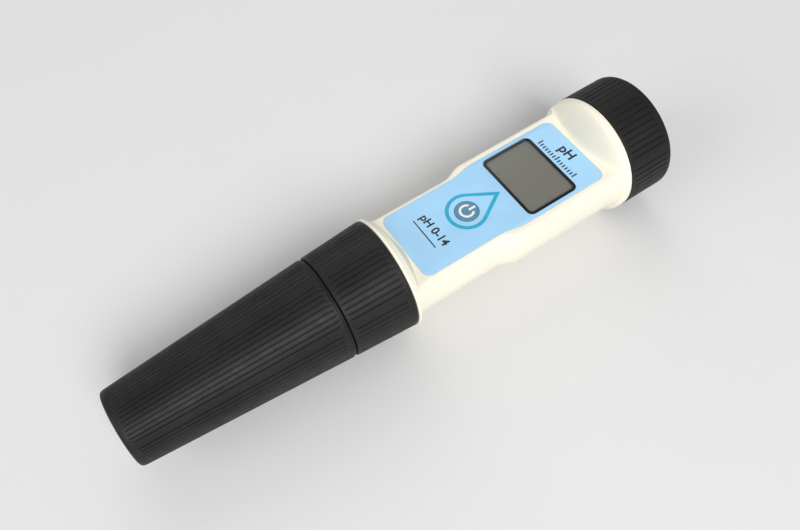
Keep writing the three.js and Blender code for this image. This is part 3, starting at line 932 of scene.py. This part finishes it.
def make_sensor():
    rows = rounded([
        (0.8, 0),
        (0.8, 12.0, 0.5),
        (-4.6, 12.0, 0.1),
        (-4.6, 10.9, 0.1),
        (-6.8, 10.9, 0.1),
        (-6.8, 12.0, 0.1),
        (-10.3, 12.0, 0.1),
        (-10.3, 14.4, 0.3),
        (-12.4, 14.4, 0.3),
        (-12.4, 9.0, 0.4),
        (-57.0, 9.0, 0.1),
        (-57.2, 8.8, 0.1),
        (-57.6, 8.8, 0.1),
        (-57.8, 9.0, 0.1),
        (-74.0, 9.0, 1.0),
        (-74.0, 7.4, 0.3),
        (-58.0, 7.4),
        (-58.0, 3.4),
        (-2.0, 3.4),
        (-2.0, 0),
    ])
    barrel = turned("sensor_barrel", subdivided(rows, 2.0), materials["smoked_plastic"], even_angles(96))
    slots = []
    for number in range(4):
        slot = guard_slot("guard_slot_%d" % number, math.radians(45 + 90 * number))
        slots.append(slot)
    carve(barrel, *slots)
    finish_as(barrel, "smoked_plastic", "sensor_module", "sensor_body")


def guard_slot(name, angle):
    """A round-ended window through one side of the guard."""
    half, near, far = 3.3, 4.5, 12.0
    open_end_x, round_end_x = -76.0, -64.3
    across = Vector((0, -math.sin(angle), math.cos(angle)))
    out = Vector((0, math.cos(angle), math.sin(angle)))
    outline = [(open_end_x, -half), (round_end_x, -half)]
    outline += arc(round_end_x, 0, half, -90, 90, 16)[1:]
    outline += [(open_end_x, half)]
    verts = []
    for depth in (near, far):
        for x, side in outline:
            point = (across * side + out * depth) * MM
            verts.append(Vector((ZERO_X + x * MM, point.y, AXIS_Z + point.z)))
    count = len(outline)
    faces = [list(range(count)), list(range(2 * count - 1, count - 1, -1))]
    faces += [[i, (i + 1) % count, (i + 1) % count + count, i + count] for i in range(count)]
    return new_piece(name, verts, faces, materials["smoked_plastic"])


def make_glass():
    bulb_x, bulb, stem, wall, back = -68.0, 4.4, 3.1, 0.6, -25.0
    inside = bulb - wall
    neck = math.asin(stem / bulb)
    steps = 24
    outer = []
    inner = []
    for step in range(steps):
        angle = lerp(neck, math.pi, step / steps)
        outer.append((bulb_x + bulb * math.cos(angle), bulb * math.sin(angle)))
        inner.append((bulb_x + inside * math.cos(angle), inside * math.sin(angle)))
    outer.append((bulb_x - bulb, 0))
    inner.append((bulb_x - inside, 0))
    rows = outer[::-1] + [(back, stem), (back, stem - wall)] + inner
    glass = turned("glass_bulb", rows, materials["electrode_glass"], even_angles(64), sharp_degrees=60)
    finish_as(glass, "electrode_glass", "sensor_module", "glass_electrode")


def make_junction():
    """A ceramic ring round the glass stem, with a hole for the probe."""
    ceramic = materials["junction_ceramic"]
    rows = rounded([
        (-58.2, 3.6),
        (-58.2, 7.1, 0.2),
        (-60.0, 7.1, 0.3),
        (-60.0, 3.6, 0.3),
        (-58.2, 3.6),
    ])
    junction = turned("junction_ring", rows[:-1], ceramic, even_angles(64), loop=True)
    gap_rows = [(-62, 0), (-62, 1.3), (-57, 1.3), (-57, 0)]
    carve(junction, turned_at_height("probe_gap", gap_rows, PROBE_Z, ceramic))
    finish_as(junction, "junction_ceramic", "sensor_module", "reference_junction")


def make_probe():
    rows = rounded([(-65.8, 0), (-65.8, 0.8, 0.7), (-41.0, 0.8), (-41.0, 0)])
    probe = turned_at_height("steel_probe", rows, PROBE_Z, materials["steel"])
    finish_as(probe, "steel", "sensor_module", "temperature_probe")


def make_wire():
    rows = rounded([(-69, 0), (-69, 0.5, 0.3), (-2.4, 0.5), (-2.4, 0)])
    wire = turned_at_height("silver_core", rows, 0, materials["silver_wire"])
    finish_as(wire, "silver_wire", "sensor_module", "inner_wire")


def make_sponge():
    sponge = turned(
        "wet_sponge",
        rounded([(-86.3, 0), (-86.3, 9.2, 0.8), (-82.9, 9.2, 0.9), (-82.9, 0)]),
        materials["foam"],
        even_angles(72),
    )
    finish_as(sponge, "foam", "protective_cap", "cap_sponge")


def make_seals():
    rings = (
        ("battery_cap_o_ring", 83.4, 16.15, 1.7, "housing", "battery_cap_seal"),
        ("sensor_o_ring", -5.7, 11.55, 1.2, "sensor_module", "sensor_seal"),
        ("cap_o_ring", -24.7, 12.8, 1.5, "collar", "cap_seal"),
    )
    for name, x, radius, thickness, body, node in rings:
        ring = o_ring(name, x, radius, thickness, materials["seal_rubber"])
        finish_as(ring, "seal_rubber", body, node)


# ---------------------------------------------------------------- inner pieces kept from CAD

def finish_cad_nodes():
    """Gives every CAD node the material of its slot."""
    slots = {row["node"]: row["material_slot"] for row in frame["record"]["subparts"]}
    for name, node in frame["nodes"].items():
        made = materials[slots[name]]
        if not node.material_slots:
            node.data.materials.append(made)
        for holder in node.material_slots:
            holder.material = made


# ---------------------------------------------------------------- studio

def make_floor():
    half = 3.0
    verts = [(-half, -half, 0), (half, -half, 0), (half, half, 0), (-half, half, 0)]
    floor = new_piece("floor", verts, [[0, 1, 2, 3]], materials["floor"])
    floor.location.z = -0.1 * MM


def make_light(name, position, size, power):
    """A soft round light that looks at the middle of the tester's underside."""
    lamp = bpy.data.lights.new(name, "AREA")
    lamp.shape = "DISK"
    lamp.size = size
    lamp.energy = power
    holder = bpy.data.objects.new(name, lamp)
    holder.location = position
    holder.rotation_euler = (-Vector(position)).to_track_quat("-Z", "Y").to_euler()
    bpy.context.scene.collection.objects.link(holder)


def make_lights():
    make_light("key_light", (-0.2, -1.60, 1.50), 1.25, 38.8)
    make_light("top_light", (-2.1, 0.1, 1.15), 1.8, 17.0)
    make_light("fill_light", (0.5, 1.50, 1.30), 1.6, 7.8)
    world = bpy.data.worlds.new("studio")
    world.use_nodes = True
    background = world.node_tree.nodes["Background"]
    background.inputs["Color"].default_value = (0.93, 0.93, 0.94, 1)
    background.inputs["Strength"].default_value = 0.31
    bpy.context.scene.world = world


def make_camera():
    """Looks down at the label from over the cap's tip, turned in the picture plane."""
    lean = math.radians(14.97)
    roll = math.radians(28.24)
    spin = math.radians(30.53)
    across = Vector((0, -math.sin(roll), math.cos(roll)))
    back = math.cos(lean) * across - math.sin(lean) * Vector((1, 0, 0))
    along = math.cos(lean) * Vector((1, 0, 0)) + math.sin(lean) * across
    side = back.cross(along)
    right = math.cos(spin) * along - math.sin(spin) * side
    up = math.sin(spin) * along + math.cos(spin) * side
    turn = Matrix((right, up, back)).transposed().to_4x4()
    lens = bpy.data.cameras.new("camera")
    lens.lens = 36
    lens.sensor_width = 36
    holder = bpy.data.objects.new("camera", lens)
    holder.matrix_world = Matrix.Translation(on_axes(-58.83, -113.5, 211.29)) @ turn
    bpy.context.scene.collection.objects.link(holder)
    bpy.context.scene.camera = holder


# ---------------------------------------------------------------- build

make_camera()
make_battery_cap()
make_collar()
make_protective_cap()
make_housing()
make_thread("battery_spigot_thread", 85.9, 90.6, BATTERY_SPIGOT_RADIUS, 0.5, 3.0, "housing")
make_thread("sensor_spigot_thread", -8.6, -2.0, SENSOR_SPIGOT_RADIUS, 0.4, 2.5, "housing")
make_label()
make_prints()
make_display()
make_key()
make_sensor()
make_glass()
make_junction()
make_probe()
make_wire()
make_sponge()
make_seals()
finish_cad_nodes()
make_floor()
make_lights()
bpy.context.scene.view_settings.view_transform = "Standard"
